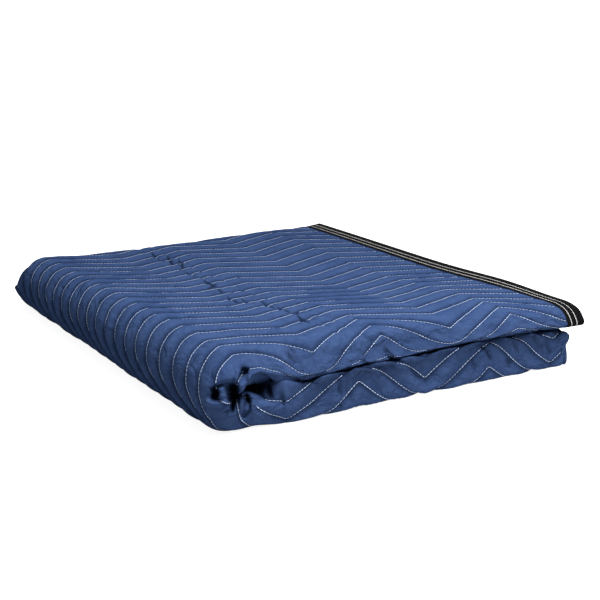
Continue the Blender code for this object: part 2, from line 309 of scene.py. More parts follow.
def squared(x, y, z, level):
    """Fill out the lips and the foot; returns x and y."""
    crest = section(x, CREST)
    middle = np.where(z > level, (level + crest) / 2, level / 2)
    half = LIP_SHARE * np.where(z > level, crest - level, level)
    square = np.clip(np.abs(z - middle) / half, 0.0, 1.0) ** 2 * ((z < middle) | (z < level))
    square = square * smooth(*LIP_X, x) * (1 - smooth(*LIP_Y, y))
    square = square * (1 - ROUNDER * smooth(*ROUNDER_X, x) * (z > level))
    low = np.clip(1 - z / SLIT_Z, 0.0, 1.0) ** SIDE_CURVE
    return x - SIDE_SQUARE * low * (1 - smooth(*SIDE_X, x)), y - LIP_SQUARE * square


# %% Shaping the bound end
END_REACH = 0.0030      # the lower lip's bound end stands out this much more
END_WAVE = 0.0022       # and waves in and out
WAVE_STEPS = (0.011, 0.045)             # over this far up, and across
END_X = (0.150, 0.222)
END_Y = (-0.24, -0.18)
END_FADE = (-0.008, 0.001)              # gone just above the slit's level
END_CURL = 0.0030       # the bound end on top curls up by this much
CURL_X = (0.222, 0.256)
CURL_Y = (-0.24, -0.12)
TOP_Z = (0.045, 0.060)  # the plies near the top, in full from there up


def end_shaped(x, y, z, level):
    """Wave the lower bound end and curl the upper one; returns x and z."""
    wave = END_REACH + END_WAVE * noise(z, y, *WAVE_STEPS, seed=31)
    wave = wave * (1 - smooth(level + END_FADE[0], level + END_FADE[1], z))
    x = x + wave * smooth(*END_X, x) * (1 - smooth(*END_Y, y))
    z = z + END_CURL * smooth(*CURL_X, x) * smooth(*TOP_Z, z) * smooth(*CURL_Y, y)
    return x, z


# %% Pleats, holes and rolls
CORNER = np.array((-0.2030, -0.2850, 0.0440))
INTO = np.array((0.4916, 0.8332, -0.2533))      # the way the cloth is pushed
RIGHT = np.array((0.8608, -0.5079, 0.0))
RISE = np.cross(RIGHT, INTO)
CRUMPLE_Y = (-0.262, -0.205)            # full strength here, none there
# width, depth, and a line of (right, up) places, all in millimetres
PLEATS = (
    (5.4, 26.0, ((-6, -6), (-7, 3))),
    (2.0, 12.0, ((-5, -9), (-6, -14), (-7, -20))),
    (3.6, 14.0, ((-24.0, -6), (-22.5, -1))),
    (1.8, 6.0, ((-26, 2), (-18, 6), (-12, 8))),
    (3.2, 12.0, ((5, 17), (5, 19))),
    (2.3, -7.0, ((-1, 18), (-2, 10), (2.5, 5), (9, 7), (11, 13))),
    (2.4, 11.0, ((7, -6), (8, -12), (8, -20), (5, -26))),
    (2.6, -4.0, ((1, -2), (10, -4), (17, -8))),
    (2.4, -4.0, ((-30, -10), (-20, -12), (-11, -11))),
    (2.0, -3.0, ((2, -9), (2, -18))),
    (2.2, -3.0, ((14, -12), (15, -24))),
    (2.0, 7.0, ((29, 1), (30, -8))),
    (3.0, -3.0, ((25, 0), (24, -7))),
    (2.4, -2.5, ((46, -9), (46, -20))),
    (2.0, 1.8, ((42, -9), (42, -16))),
    (2.6, -3.5, ((-11, -20), (-6, -24), (-2, -22))),
    (2.8, -2.5, ((-14, -3), (-17, -5))),
    (1.8, 3.0, ((50, 40), (57, 33))),
    (2.2, 4.0, ((47, 36), (52, 27), (63, 21))),
    (2.4, 4.0, ((100, 5), (102, -7))),
    (2.2, 3.0, ((131, 51), (137, 46))),
    (2.4, 3.0, ((126, 29), (129, 24))),
    (2.2, 1.8, ((113, 36), (120, 37))),
    (2.6, 4.5, ((152, 36), (158, 28))),
    (3.0, 4.5, ((159, 27), (168, 24))),
    (2.2, 2.0, ((169, 44), (182, 43))),
    (2.4, 2.5, ((183, 11), (188, 6))),
    (2.4, 2.5, ((209, 33), (212, 27))),
    (2.4, 3.0, ((254, 20), (257, 10))),
    (2.2, 4.5, ((265, 38), (271, 33), (275, 26))),
    (2.4, 3.5, ((298, 21), (301, 12))),
    (2.2, 3.5, ((304, 40), (309, 32))),
    (2.4, 4.0, ((331, 44), (340, 34))),
    (2.4, 4.5, ((346, 41), (352, 31))),
    (2.4, 4.0, ((360, 52), (364, 40))),
)
# the same for the creases that packing left on the top, seen from above
CREASES = (
    (2.0, 2.2, ((-63, 240), (-71, 205))),
    (2.3, 2.5, ((-55, 206), (-66, 169))),
    (2.0, 2.2, ((-49, 182), (-64, 138))),
    (2.4, 3.2, ((-72, 122), (-70, 82))),
    (2.4, 3.2, ((-72, 56), (-77, 19))),
    (2.2, 2.3, ((-90, 12), (-71, 30))),
    (2.0, 2.2, ((-78, 8), (-83, -14))),
    (2.2, 2.3, ((-92, -50), (-96, -78))),
    (2.0, 1.8, ((-83, -70), (-83, -92))),
    (2.4, 3.2, ((-66, -86), (-74, -122))),
    (2.3, 2.9, ((-67, -128), (-70, -156))),
    (2.0, 2.3, ((-69, -154), (-60, -165))),
    (2.3, 2.9, ((-72, -180), (-78, -208))),
)
print(len(PLEATS), "pleats, holes and rolls, and", len(CREASES), "creases")


# %% Crumple
EDGE_POWER = 2.5        # how sharply a dent's side drops off


def line_distance(u, v, line):
    """Distance of points from a line drawn through some places."""
    least = np.full(np.shape(u), np.inf)
    for (u0, v0), (u1, v1) in zip(line, line[1:]):
        run = (u1 - u0) ** 2 + (v1 - v0) ** 2
        share = np.clip(((u - u0) * (u1 - u0) + (v - v0) * (v1 - v0)) / run, 0.0, 1.0)
        gap = np.hypot(u - u0 - share * (u1 - u0), v - v0 - share * (v1 - v0))
        least = np.minimum(least, gap)
    return least


def dent(u, v, width, line, power=EDGE_POWER):
    """1 on a line, and 0 well beyond its width."""
    return np.exp(-((line_distance(u, v, line) / width) ** power))


def facing(places):
    """Where places lie in the plane that faces the corner, in millimetres."""
    return (places - CORNER) @ RIGHT * 1000, (places - CORNER) @ RISE * 1000


def crumpled(x, y, z):
    """Bunch the cloth at the front corner, and crease the top."""
    z, level = lifted(x, y, z)
    x, y = squared(x, y, z, level)
    z = opened(x, y, z, level)
    x, z = end_shaped(x, y, z, level)
    for width, depth, line in CREASES:
        z = z - depth / 1000 * dent(x * 1000, y * 1000, width, line) * smooth(*TOP_Z, z)
    places = np.stack([x, y, z], axis=-1)
    u, v = facing(places)
    push = np.zeros(np.shape(u))
    for width, depth, line in PLEATS:
        push = push + depth / 1000 * dent(u, v, width, line)
    push = push * (1 - smooth(*CRUMPLE_Y, y))
    return np.moveaxis(places + push[..., None] * INTO, -1, 0)


# %% [markdown]
# ## Where little light gets in
#
# Between the lips, down the holes and along the foot of the round side, real
# cloth looks almost black: the folds go deeper than the ones we model, the
# upper lip shades the lower one, little light reaches down to the foot, and
# the cloth swallows what light comes back. So that shade is painted, and the
# creases on the top get some too: each point gets a number from 0 in the open
# to 1 in the deepest painted shade. The mesh keeps it as an attribute, the
# cloth's material darkens its colour by it, and stitches in the darkest
# painted shade are left out. A material could use an ambient occlusion node
# instead, but it would only see the shallow folds that the mesh has.

# %% How much painted shade a point gets
MOUTH_Z, MOUTH_HALF = SLIT_Z - 0.0010, 0.0100   # painted shade inside the open slit: its middle and half height
MOUTH_Y = (-0.287, -0.275)              # no painted shade here, full painted shade there
MOUTH_START, MOUTH_END = (-0.198, -0.190), (-0.145, -0.110)
LOWER_SHADE, LOWER_FADE = 0.62, 0.0085  # shade on the lower lip under the slit, and its height
UPPER_SHADE, UPPER_FADE = 0.30, 0.0075  # and on the upper lip over it
LIP_SHADE_X = (-0.172, -0.122)
LIP_SHADE_Y = (-0.225, -0.200)
FOOT_SHADE = 0.36       # painted shade at the foot of the round side, where little light reaches near the floor
FOOT_Z, FOOT_X = (0.0, 0.060), (-0.240, -0.205)
HOLE_LEAST, HOLE_BLACK = 2.0, 13.0      # depths where shade begins, and is full, in mm
HOLE_WIDER, HOLE_POWER = 1.05, 3        # the shade is wider than the dent, and sharper
HOLE_Y = -0.200         # in front of this alone
CREASE_SHADE = 0.17     # for each millimetre of a crease's depth
CREASE_Z = 0.055        # on the top alone


def painted_shade(points):
    """Painted shade on some points of the folded pad, from 0 in the open to 1."""
    places = points + MIDDLE
    x, y, z = np.moveaxis(places, -1, 0)
    # painted shade inside the open slit
    mouth = smooth(*MOUTH_Y, y) * np.exp(-(((z - MOUTH_Z) / MOUTH_HALF) ** 4))
    mouth = mouth * smooth(*MOUTH_START, x) * (1 - smooth(*MOUTH_END, x))
    # painted shadow of the upper lip on the lower lip, and painted shade on the upper lip over the slit
    level = section(x, CREST) / 2 + np.interp(x, LIFT_X, LIFT)
    strength = np.where(z < level, LOWER_SHADE, UPPER_SHADE)
    lips = strength * bell(z, level, np.where(z < level, LOWER_FADE, UPPER_FADE))
    lips = lips * smooth(*LIP_SHADE_X, x) * (1 - smooth(*LIP_SHADE_Y, y))
    # painted shade at the foot of the round side, near the floor
    foot = FOOT_SHADE * (1 - smooth(*FOOT_Z, z)) * (1 - smooth(*FOOT_X, x))
    inside = np.maximum(np.maximum(mouth, lips), foot)
    # painted shade down the deep holes
    u, v = facing(places)
    for width, depth, line in PLEATS:
        if depth > HOLE_LEAST:
            shade_amount = min(1.0, depth / HOLE_BLACK) * dent(u, v, HOLE_WIDER * width, line, HOLE_POWER)
            inside = np.maximum(inside, shade_amount * (y < HOLE_Y))
    # painted shade along the creases on the top
    for width, depth, line in CREASES:
        shade_amount = CREASE_SHADE * depth * dent(x * 1000, y * 1000, width, line)
        inside = np.maximum(inside, shade_amount * (z > CREASE_Z))
    return inside


# %% [markdown]
# ## The quilting
#
# The seams are zigzags that run along the sheet, side by side. We give the
# cloth a row coordinate: r is a whole number on a seam and halfway between
# two whole numbers at the crown of a channel. The rows of the mesh are drawn
# at steady values of r, so a row of vertices lies in every stitched valley
# and the zigzag keeps its sharp bends. A square grid would cut across the
# seams and blunt them.

# %% Sizes of the seams and the edge
ROW_STEP = 0.0298       # one seam to the next
ZIGZAG = 0.1778         # one peak to the next
ZIG_HEIGHT = 0.0188     # half of a seam's rise from valley to peak
FIRST_PEAK = 0.098      # from the bound end
FIRST_SEAM = -0.0032    # from the middle third's front edge
FIRST_ROW, LAST_ROW = -4, 21            # seams that can be seen
TAPE = 0.0255           # width of one leg of the folded tape
TAPE_PLY = 0.0008
CLEAR = 0.0003          # air between tape and cloth
EDGE_PLY = 0.0030       # cloth pressed thin inside the tape
EDGE_RAMP = 0.0040      # where it swells to full thickness again
print(LAST_ROW - FIRST_ROW, "rows of quilting, one every", ROW_STEP, "m")


# %% How the seams swing
# Pairs are where something sets in and is full, or is full and has gone:
# along the sheet where the name ends in S, else from the front edge
UPPER_S, LOWER_S = (0.40, 0.50), (0.585, 0.640)     # upper lip ends, lower begins
FRONT_SPREAD, FRONT_FADE = 0.70, (0.020, 0.060)     # seams at the front swing wider
LOW_SPREAD, LOW_FADE = 0.30, (-0.040, 0.0)          # below the nose wider still
UNDER_SPREAD, UNDER_FADE = 0.74, (0.030, 0.080)     # and so on the lower lip
UNDER_SHIFT, SHIFT_FADE = 0.0140, (0.0, 0.060)      # where they also lie lower
SINKS = ((0.720, 0.900, 1.0), (0.900, 0.970, 0.35))  # from here to there, by a share
SINK_START = -0.2
# the seams are drawn forward round the corner, and more along the side's foot
CORNER_DRAW, CORNER_FADE = 0.010, (0.060, 0.160)
CORNER_S, CORNER_OUT_S = (0.40, 0.46), (0.56, 0.62)
FOOT_DRAW, FOOT_IN = 0.052, (0.0, 0.07)
FOOT_S, FOOT_OUT_S = (0.515, 0.580), (0.60, 0.67)
# draw, place and run along the sheet, and fade: a seam that dips into the
# slit, the first seam of the lower lip, and the seams where the cloth bunches
LOCAL_DRAWS = (
    (0.008, 0.3647, 0.035, (0.0, 0.020)),
    (0.009, 0.6314, 0.035, (-0.033, 0.010)),
    (0.016, 0.558, 0.030, (0.0, 0.030)),
)
SWING_FRONT = (FRONT_END - 0.120, FRONT_END - 0.050)    # straight on the hidden flaps
SWING_BACK = (BACK_END + 0.020, BACK_END + 0.090)
STRAIGHT = 0.004        # and this near the bound end and the first fold


def zigzag(u):
    """How far a seam has swung to the side, u from the bound end."""
    phase = ((u - FIRST_PEAK) / ZIGZAG) % 1.0
    return ZIG_HEIGHT * (1 - 4 * np.minimum(phase, 1 - phase))


def swing(s, b):
    """Sideways swing of the row that starts out at b across the sheet."""
    front = b - FRONT_T
    upper, lower = 1 - smooth(*UPPER_S, s), smooth(*LOWER_S, s)
    lip = FRONT_SPREAD * (1 - smooth(*FRONT_FADE, front)) + LOW_SPREAD * (1 - smooth(*LOW_FADE, front))
    under = UNDER_SPREAD * (1 - smooth(*UNDER_FADE, front))
    swung = zigzag(s) * (1 + lip * upper + under * lower)
    sink = SINK_START + sum(share * smooth(start, end, s) for start, end, share in SINKS)
    swung = swung + UNDER_SHIFT * sink * lower * (1 - smooth(*SHIFT_FADE, front))
    corner = CORNER_DRAW * smooth(*CORNER_S, s) * (1 - smooth(*CORNER_OUT_S, s))
    foot = FOOT_DRAW * smooth(*FOOT_S, s) * (1 - smooth(*FOOT_OUT_S, s))
    swung = swung - corner * (1 - smooth(*CORNER_FADE, front)) - foot * smooth(*FOOT_IN, front)
    for draw, place, run, fade in LOCAL_DRAWS:
        swung = swung - draw * bell(s, place, run) * (1 - smooth(*fade, front))
    shown = smooth(*SWING_FRONT, b) * (1 - smooth(*SWING_BACK, b))
    shown = shown * smooth(STRAIGHT, TAPE, s) * (1 - smooth(FIRST_S - STRAIGHT, FIRST_S, s))
    return swung * shown


def row_of(b):
    """The row coordinate: whole numbers are seams."""
    return (b - FRONT_T - FIRST_SEAM) / ROW_STEP


def row_base(r):
    """Where row r starts out across the sheet."""
    return FRONT_T + FIRST_SEAM + ROW_STEP * r


# %% [markdown]
# ## Puffed channels and wrinkles
#
# Quilting draws the two faces together at each seam, so the filling stands
# up in between as a soft channel, and the thread gathers the cloth into
# short puckers. We add this as a height over the smooth cloth. Random but
# repeatable ripples come from value noise: a small grid of random numbers,
# eased between its points. The seed is fixed, so that each run is the same.

# %% Quilting's relief
SEAM_DEPTH = 0.0013     # how far a seam draws the cloth in on the top
CROWN = 0.0007          # how far a channel stands up there
ROUND_PUFF = 1.45       # the round side and the lips puff this much more
PUFF_FADE = (-0.015, 0.060)             # lip to top, from the front edge
UNEVEN, UNEVEN_RUN = 0.40, 0.045        # how much the crowns vary, and over what run
PRESSED = 0.65          # the pad's weight takes this share of it underneath
PRESSED_S, PRESSED_B = (0.545, 0.575), (-0.034, -0.008)
PUCKER = 0.00055        # short gathers beside a seam
PUCKER_RUN = 0.011      # from one gather to the next
PUCKER_AT, PUCKER_WIDE = 0.10, 0.13     # in rows, from the seam
CREASE_LINES = (0.321, 0.302)           # two lines pressed in by the packing
CREASE_DEPTH, CREASE_WIDE = 0.0016, 0.0032
WANDER, WANDER_RUN = 0.0025, 0.060      # they stray sideways
BREAK_RUN = 0.110       # and fade and come back
BREAK_MEAN, BREAK_SPREAD, BREAK_LEAST = 0.55, 0.6, 0.1


def relief(s, b):
    """Height that quilting, gathers and creases add to the outer face."""
    r = row_of(b)
    front = b - FRONT_T
    from_seam = np.abs(r - np.round(r))          # 0 on a seam, 0.5 on a crown
    pillow = 1 - (1 - 2 * from_seam) ** 2
    uneven = 1 + UNEVEN * noise(s, b, UNEVEN_RUN, ROW_STEP, seed=3)
    away = np.maximum(smooth(*UPPER_S, s), 1 - smooth(*PUFF_FADE, front))
    pressed = smooth(*PRESSED_S, s) * smooth(*PRESSED_B, front)
    puff = (1 + (ROUND_PUFF - 1) * away) * (1 - PRESSED * pressed)
    height = puff * (-SEAM_DEPTH + (SEAM_DEPTH + CROWN) * pillow * uneven)

    gather = noise(s, b, PUCKER_RUN, ROW_STEP / 2, seed=5)
    height = height + PUCKER * gather * bell(from_seam, PUCKER_AT, PUCKER_WIDE)

    for place, seed in zip(CREASE_LINES, (7, 8)):
        wander = WANDER * noise(b, 0 * b, WANDER_RUN, 1.0, seed)
        strength = BREAK_MEAN + BREAK_SPREAD * noise(b, 0 * b, BREAK_RUN, 1.0, seed + 2)
        strength = np.clip(strength, BREAK_LEAST, 1.0)
        height = height - CREASE_DEPTH * strength * bell(s, place + wander, CREASE_WIDE)
    return height


# %% Height of the cloth's faces
RELIEF_FRONT = (FRONT_END - 0.060, FRONT_END - 0.020)   # relief on the visible rows alone
RELIEF_BACK = (BACK_END - 0.010, BACK_END + 0.010)


def half_thickness(s, t):
    """Half of the plain cloth's thickness, and how far it has swelled past the tape."""
    edge = np.minimum(np.minimum(s, LENGTH - s), np.minimum(t, WIDTH - t))
    swell = np.clip((edge - TAPE - CLEAR) / EDGE_RAMP, 0.0, 1.0)
    return (EDGE_PLY + (PLY - EDGE_PLY) * swell) / 2, swell


def outer_height(s, b):
    """Half thickness of the cloth on the side that faces outward."""
    plain, swell = half_thickness(s, b + swing(s, b))
    shown = smooth(*RELIEF_FRONT, b) * (1 - smooth(*RELIEF_BACK, b)) * (s < FIRST_END)
    return plain + relief(s, b) * swell * shown


def on_pad(s, t, n):
    """Places on the folded pad for points of the flat sheet, as rows of x, y, z."""
    s, t, n = np.broadcast_arrays(np.asarray(s, float), t, n)
    x, y, z = crumpled(*settled(*folded(s, t, n)))
    return np.stack([x, y, z], axis=-1) - MIDDLE


def on_face(s, b, lift=0.0):
    """Places on the pad's outer face, lift above the cloth."""
    s, b = np.broadcast_arrays(np.asarray(s, float), b)
    return on_pad(s, b + swing(s, b), outer_height(s, b) + lift)


halfway = TOP_RUN + math.pi * LAST_RADIUS / 2
print("a crown on the round side is at", on_face(halfway, row_base(8.5)).round(4))

# %% [markdown]
# ## The cloth's mesh
#
# The mesh starts as a flat grid, gets its thickness with solidify, and is
# then folded. Twelve plies at a fine step would be far too heavy, and ten
# of them can't be seen, so lines of the grid are dissolved wherever the
# cloth is hidden inside the pad. What shows keeps a step of 3 mm, and half
# of that where the corner crumples.

# %% Grid lines
FINE = 0.0030           # step along the sheet where it shows
COARSE = 0.0120         # and where it is hidden
CREASED = (0.298, 0.358)                # here the columns lie twice as close
ROW_PHASES = (0.0, 0.07, 0.18, 0.33, 0.50, 0.67, 0.82, 0.93)
FIRST_STEPS, FRONT_STEPS, BACK_STEPS = 6, 9, 7      # steps round each fold
FLAP_STEPS = (7, 8)     # across the flap in front and the one behind
FLAP_GAP = 0.010        # last visible row to the flap behind
LEAST_COLUMN, LEAST_ROW = 0.0009, 0.0004            # lines closer than this are left out
SAME = 1e-6             # and points this close are one point


def spread(start, end, count):
    """count + 1 even steps from start to end."""
    return [start + (end - start) * step / count for step in range(count + 1)]


def filled(stops, step):
    """Even steps between each stop and the next, about one step long."""
    lines = []
    for start, end in zip(stops, stops[1:]):
        lines += spread(start, end, max(1, round((end - start) / step)))
    return lines


def unique(values, least=LEAST_COLUMN):
    """The values in order, without those that lie closer than least."""
    kept = []
    for value in sorted(values):
        if not kept or value - kept[-1] > least:
            kept.append(value)
    return kept


cloth_edge = TAPE_PLY + CLEAR
bends = [FIRST_PEAK + ZIGZAG * step / 2 for step in range(10)]
stops = [cloth_edge, TAPE + CLEAR, TAPE + CLEAR + EDGE_RAMP] + bends + [FIRST_S]
stops = unique(stops + [TOP_RUN, TURN_END])
fine_s = filled(stops, FINE)
pairs = zip(fine_s, fine_s[1:])
fine_s += [(low + high) / 2 for low, high in pairs if CREASED[0] < low < high < CREASED[1]]
coarse_s = unique(filled(stops, COARSE))
turn_s = spread(FIRST_S, FIRST_END, FIRST_STEPS)
mirrored_s = [FIRST_END + (FIRST_S - at) for at in coarse_s]
s_lines = unique(fine_s + turn_s + mirrored_s)

visible = range(FIRST_ROW, LAST_ROW)
fine_b = [row_base(row + phase) for row in visible for phase in ROW_PHASES]
coarse_b = [cloth_edge, TAPE + CLEAR] + spread(TAPE + CLEAR + EDGE_RAMP, fine_b[0], FLAP_STEPS[0])
coarse_b += [row_base(row) for row in visible]
coarse_b += spread(FRONT_END, FRONT_T, FRONT_STEPS) + spread(BACK_T, BACK_END, BACK_STEPS)
coarse_b += spread(fine_b[-1] + FLAP_GAP, WIDTH - TAPE - CLEAR - EDGE_RAMP, FLAP_STEPS[1])
coarse_b += [WIDTH - TAPE - CLEAR, WIDTH - cloth_edge]
b_lines = unique(fine_b + coarse_b, LEAST_ROW)
print(len(s_lines), "columns and", len(b_lines), "rows")


# %% Which points are hidden
HIDDEN_RUN = 0.020      # this far under the pad, past the last fold
HIDDEN_ROW = 2          # rows behind this one lie on the floor


def dissolve_lines(bm, axis, kept, hidden):
    """Dissolve the grid lines along one axis that are not kept, where hidden."""
    kept = np.array(sorted(kept))
    loose = []
    for edge in bm.edges:
        start, end = edge.verts[0].co, edge.verts[1].co
        place = start[axis]
        if abs(place - end[axis]) > SAME or abs(start[1 - axis] - end[1 - axis]) < SAME:
            continue
        if hidden((start + end) / 2) and np.abs(kept - place).min() > SAME:
            loose.append(edge)
    bmesh.ops.dissolve_edges(bm, edges=loose, use_verts=True)
    return len(loose)


def snap(values, lines):
    """The grid lines that lie nearest to some values."""
    lines = np.array(lines)
    return {float(lines[np.abs(lines - value).argmin()]) for value in values}


def is_hidden(at):
    """True for a flat point on a stretch of the cloth that can't be seen."""
    if at.z < -PLY / 2 or at.x > FIRST_END:
        return True
    if not fine_b[0] < at.y < fine_b[-1]:
        return True
    return at.x > TURN_END + HIDDEN_RUN and at.y > row_base(HIDDEN_ROW)


# %% The flat mesh
BUNCHED_S = (0.395, 0.690)              # twice as fine at the corner
BUNCHED_B = (row_base(-3), row_base(1))


def is_bunched(vert):
    """True for a flat point of the outer face where the corner crumples."""
    along = BUNCHED_S[0] < vert.co.x < BUNCHED_S[1]
    return along and BUNCHED_B[0] < vert.co.y < BUNCHED_B[1] and vert.co.z > -SAME


cloth = bmesh.new()
columns, rows = len(s_lines) - 1, len(b_lines) - 1
bmesh.ops.create_grid(cloth, x_segments=columns, y_segments=rows, size=0.5)
for vert in cloth.verts:
    column = round((vert.co.x + 0.5) * columns)
    row = round((vert.co.y + 0.5) * rows)
    vert.co = (s_lines[column], b_lines[row], 0.0)
bmesh.ops.solidify(cloth, geom=cloth.faces[:], thickness=PLY)

kept_s = snap(coarse_s + turn_s + mirrored_s, s_lines)
kept_b = snap(coarse_b + [row_base(row + 0.5) for row in visible], b_lines)
gone = dissolve_lines(cloth, 0, kept_s, is_hidden) + dissolve_lines(cloth, 1, kept_b, is_hidden)
bunched = [edge for edge in cloth.edges if all(is_bunched(vert) for vert in edge.verts)]
bmesh.ops.subdivide_edges(cloth, edges=bunched, cuts=1, use_grid_fill=True)
triangles = sum(len(face.verts) - 2 for face in cloth.faces)
print(gone, "hidden edges dissolved;", len(cloth.verts), "points,", triangles, "triangles")


# %% Fold the mesh
def shaped(bm, name):
    """Make a closed mesh object with its faces outward and smoothly shaded."""
    bmesh.ops.recalc_face_normals(bm, faces=bm.faces[:])
    if bm.calc_volume(signed=True) < 0:
        bmesh.ops.reverse_faces(bm, faces=bm.faces[:])
    for face in bm.faces:
        face.smooth = True
    mesh = bpy.data.meshes.new(name)
    bm.to_mesh(mesh)
    bm.free()
    made = bpy.data.objects.new(name, mesh)
    scene.collection.objects.link(made)
    return made


flat = np.array([vert.co[:] for vert in cloth.verts])
s, b, height = flat.T
outward = height > -PLY / 2
t = np.where(outward, b + swing(s, b), b)
n = np.where(outward, outer_height(s, b), -half_thickness(s, b)[0])
folded_points = on_pad(s, t, n)

quilt_uv = cloth.loops.layers.uv.new("quilt")
sheet_uv = cloth.loops.layers.uv.new("sheet")
# painted shade for each point, read by the cloth's material
painted_shade_layer = cloth.verts.layers.float.new("painted_shade")
cloth.verts.index_update()
row_coordinate = row_of(b)
for face in cloth.faces:
    for loop in face.loops:
        index = loop.vert.index
        loop[quilt_uv].uv = (s[index], row_coordinate[index])
        loop[sheet_uv].uv = (s[index], t[index])
for vert, point, shade_amount in zip(cloth.verts, folded_points, painted_shade(folded_points)):
    vert.co = point
    vert[painted_shade_layer] = shade_amount
blanket_cloth = shaped(cloth, "blanket_cloth")
print("cloth box", folded_points.min(axis=0).round(4), folded_points.max(axis=0).round(4))

# %% [markdown]
# ## The stitches
#
# Quilting thread shows as a row of short dashes, one for each stitch, and it
# dives into the cloth between them. A dash is a slim spindle of 30
# triangles, because there are thousands of them. It is made once and set
# down along every seam, turned to follow the seam and lifted so that it lies
# in the stitched valley. Painting dashes on the cloth would be lighter, but
# they would have no thickness up close.

# %% One dash, and a row of dashes
STITCH = 0.0043         # from one stitch to the next
DASH = 0.0041           # the part of it that shows
THREAD = 0.00042        # half the thread's thickness
THREAD_FLAT = 0.42      # pulled tight, it is a little flattened
THREAD_SEAT = 0.35      # its middle lies this share of THREAD above the seam
LOST = 0.5              # a stitch under this much painted shade is lost from sight
TIP, SHOULDER, GIRTH = 0.5, 0.46, 1.12  # scale of the ball's tips, rings and their width


def dash_mesh():
    """A spindle one unit long along X and one unit in radius."""
    bm = bmesh.new()
    bmesh.ops.create_uvsphere(bm, u_segments=5, v_segments=4, radius=1.0)
    for vert in bm.verts:
        up = abs(vert.co.z)
        vert.co.z *= TIP if up > 0.99 else SHOULDER
        if 0.1 < up < 0.99:
            vert.co.x *= GIRTH
            vert.co.y *= GIRTH
    bmesh.ops.rotate(bm, verts=bm.verts[:], matrix=Matrix.Rotation(math.pi / 2, 3, "Y"))
    mesh = bpy.data.meshes.new("dash")
    bm.to_mesh(mesh)
    bm.free()
    return mesh


def dash_points(template, starts, ends, normals, radius):
    """The template's points, carried to the place of every dash."""
    along = ends - starts
    across = np.cross(normals, along)
    across = across / np.linalg.norm(across, axis=1, keepdims=True)
    up = np.cross(along, across)
    up = up / np.linalg.norm(up, axis=1, keepdims=True)
    x, y, z = (template[None, :, axis, None] for axis in range(3))
    offsets = x * along[:, None] + y * radius * across[:, None]
    return (starts + ends)[:, None] / 2 + offsets + z * radius * THREAD_FLAT * up[:, None]


def dashes(name, groups, radius):
    """One mesh of all the dashes whose starts, ends and normals are given."""
    template = np.array([vert.co[:] for vert in dash.vertices])
    starts, ends, normals = (np.concatenate(part) for part in zip(*groups))
    points = dash_points(template, starts, ends, normals, radius).reshape(-1, 3)
    bm = bmesh.new()
    for _ in starts:
        bm.from_mesh(dash)
    for vert, point in zip(bm.verts, points):
        vert.co = point
    print(name, "has", len(starts), "stitches")
    return shaped(bm, name)


dash = dash_mesh()
print("a dash has", len(dash.vertices), "points")


# %% Quilt the seams
SEAM_MARGIN = 0.0015    # bare cloth between the tape and the first stitch
SAMPLE = 0.0005         # step at which a seam's length is measured
STAGGER = 0.37          # share of a stitch that each row starts later by
PROBE = 0.001           # height over the cloth at which its normal is felt


def stitch_places(row, first, last):
    """Where the stitches of one seam start and end, as places along the sheet."""
    s = np.arange(first, last, SAMPLE)
    t = row_base(row) + swing(s, row_base(row))
    run = np.concatenate([[0.0], np.cumsum(np.hypot(np.diff(s), np.diff(t)))])
    starts = np.arange((row * STAGGER % 1.0) * STITCH, run[-1] - STITCH, STITCH)
    return np.interp(starts, run, s), np.interp(starts + DASH, run, s)


seams = []
for row in range(FIRST_ROW + 1, LAST_ROW):
    first, last = stitch_places(row, TAPE + SEAM_MARGIN, FIRST_END - PROBE)
    base = row_base(row)
    middle = (first + last) / 2
    ground = on_face(middle, base)
    normals = on_face(middle, base, PROBE) - ground
    lift = THREAD * THREAD_SEAT
    seen = painted_shade(ground) < LOST
    seams.append((on_face(first, base, lift)[seen], on_face(last, base, lift)[seen], normals[seen]))
quilting_thread = dashes("quilting_thread", seams, THREAD)

# %% [markdown]
# ## The binding
#
# The tape is a ribbed webbing, folded lengthwise over the raw edge and held
# by two rows of thick thread. In section it is a narrow channel. It could be
# extruded step by step, but a grid has all the steps at once: we wrap one
# round the section, along the edge of the flat sheet, and fold it with the
# same function as the cloth, so it goes round every bend with it.

# %% Tapes
RIB = 0.0016            # from one rib of the tape to the next
FRAY = 0.00035          # how far the ribs notch its folded edge
BEND = 0.0010           # rounding of the tape at its fold
EASE_IN, EASE_DOWN = 0.0005, 0.0003     # and at its free edges
TAPE_STEP, END_STEP = 0.006, 0.003      # where a tape is hidden, and at a side tape's ends
SIDE_END = 0.060        # those ends reach this far along the sheet
SHOWN_MORE = 0.01       # the fine steps run on past the folds
CLOSEST = 0.0003        # steps shorter than this are left out


def tape_lines(first, last, shown_first, shown_last, fine, coarse):
    """Places along a tape, close together where it shows."""
    lines = filled((first, shown_first), coarse) + filled((shown_first, shown_last), fine)
    return unique(lines + filled((shown_last, last), coarse), CLOSEST)


